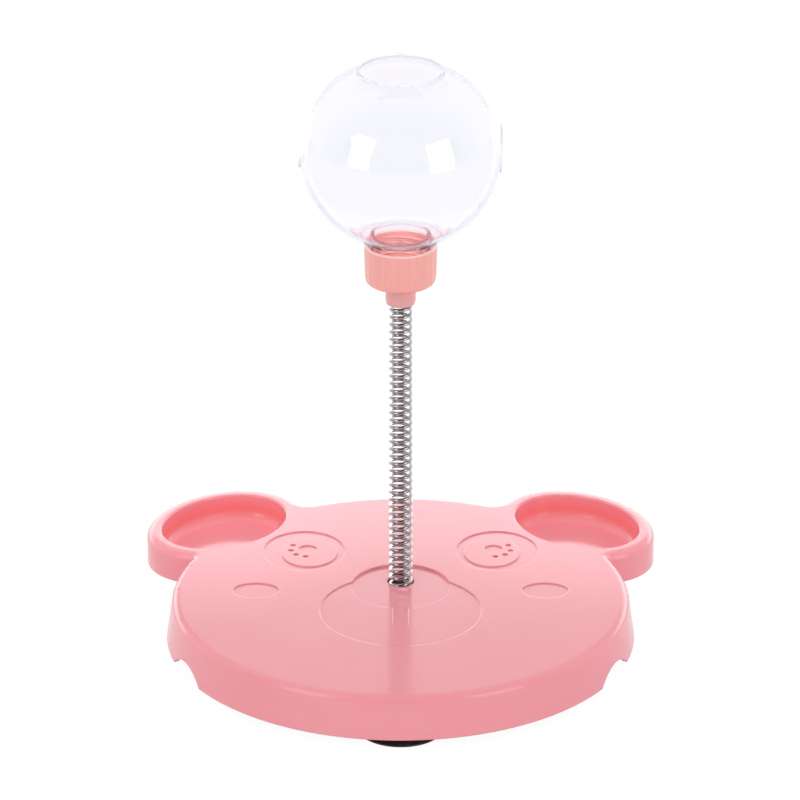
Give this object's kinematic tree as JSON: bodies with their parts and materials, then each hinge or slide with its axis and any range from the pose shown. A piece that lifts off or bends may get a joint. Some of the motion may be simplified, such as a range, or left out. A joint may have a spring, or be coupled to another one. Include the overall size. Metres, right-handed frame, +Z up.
{
  "type": "treat dispensing toy",
  "caption": "Clear treat ball with side outlets on a coil spring that sways, screwed to a low head-shaped suction base with a food bowl in each ear.",
  "frame": {"origin": "on the floor, under the middle of the part's box", "axes": "+Z up from the floor through the ball, -Y towards the muzzle edge of the base, +Y towards the ears, +X to the right as seen from the muzzle side"},
  "size_m": [0.2436, 0.2266, 0.284],
  "materials": {
    "pink_shell": "satin light pink",
    "salmon_cap": "glossy salmon pink",
    "black_rubber": "smooth black",
    "inner_plastic": "natural white",
    "spring_steel": "bright drawn wire",
    "screw_steel": "zinc plated",
    "clear_plastic": "clear, smooth, faintly lavender"
  },
  "bodies": {
    "base": {"base_shell": "pink_shell", "suction_cup_front": "black_rubber", "suction_cup_rear": "black_rubber", "suction_cup_left": "black_rubber", "suction_cup_right": "black_rubber", "spring_anchor": "inner_plastic", "anchor_screws": "screw_steel"},
    "spring": {"spring": "spring_steel"},
    "head": {"screw_cap": "salmon_cap", "spring_plug": "inner_plastic", "cap_screw": "screw_steel"},
    "ball": {"treat_ball": "clear_plastic"}
  },
  "joints": [
    {"name": "sway_fore_aft", "type": "hinge", "parent": "base", "child": "spring", "pos_m": [0, 0.0126, 0.062], "axis": [1, 0, 0], "range_deg": [-40, 40], "stiffness_Nm_per_rad": 0.4, "deforming": ["spring"]},
    {"name": "sway_side", "type": "hinge", "parent": "spring", "child": "head", "pos_m": [0, 0.0126, 0.133], "axis": [0, 1, 0], "range_deg": [-40, 40], "stiffness_Nm_per_rad": 0.3, "deforming": ["spring"]},
    {"name": "ball_unscrew", "type": "hinge", "parent": "head", "child": "ball", "pos_m": [0, 0.0126, 0.195], "axis": [0, 0, 1], "range_deg": [0, 450]}
  ]
}
